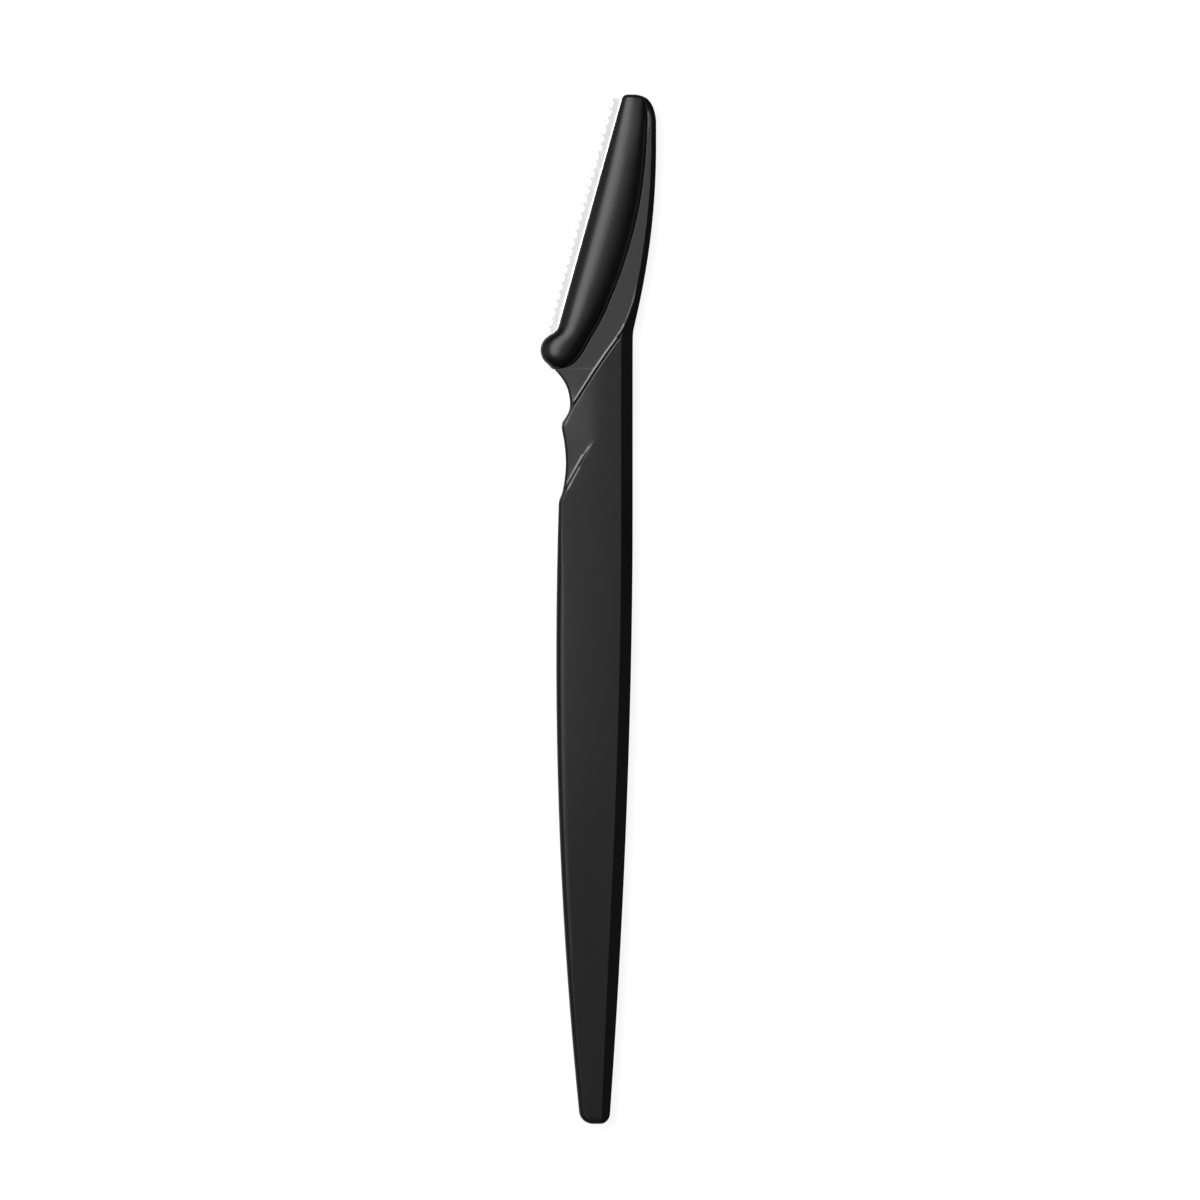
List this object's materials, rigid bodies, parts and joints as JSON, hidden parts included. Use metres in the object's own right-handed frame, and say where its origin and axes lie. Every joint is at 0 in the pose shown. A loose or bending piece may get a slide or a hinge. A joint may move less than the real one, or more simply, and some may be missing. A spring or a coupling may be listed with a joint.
{
  "type": "eyebrow razor",
  "caption": "Slim fixed-blade facial razor with a tapered handle, shaped finger rests, and a leaning head whose rounded bar grips a guarded steel strip.",
  "frame": {"origin": "under the middle of the razor's outline, on the surface that its flat back lies on", "axes": "+Y along the handle from the butt to the head, +Z out of the front face, +X from the blade side to the spine"},
  "size_m": [0.0168, 0.15, 0.004],
  "materials": {
    "handle_plastic": "fine matte moulded black",
    "holder_plastic": "smooth gloss black",
    "blade_steel": "honed stainless steel",
    "guard_steel": "bright rolled stainless foil"
  },
  "bodies": {
    "root": {"handle": "handle_plastic", "blade_holder": "holder_plastic", "blade": "blade_steel", "edge_guard": "guard_steel"}
  },
  "joints": []
}
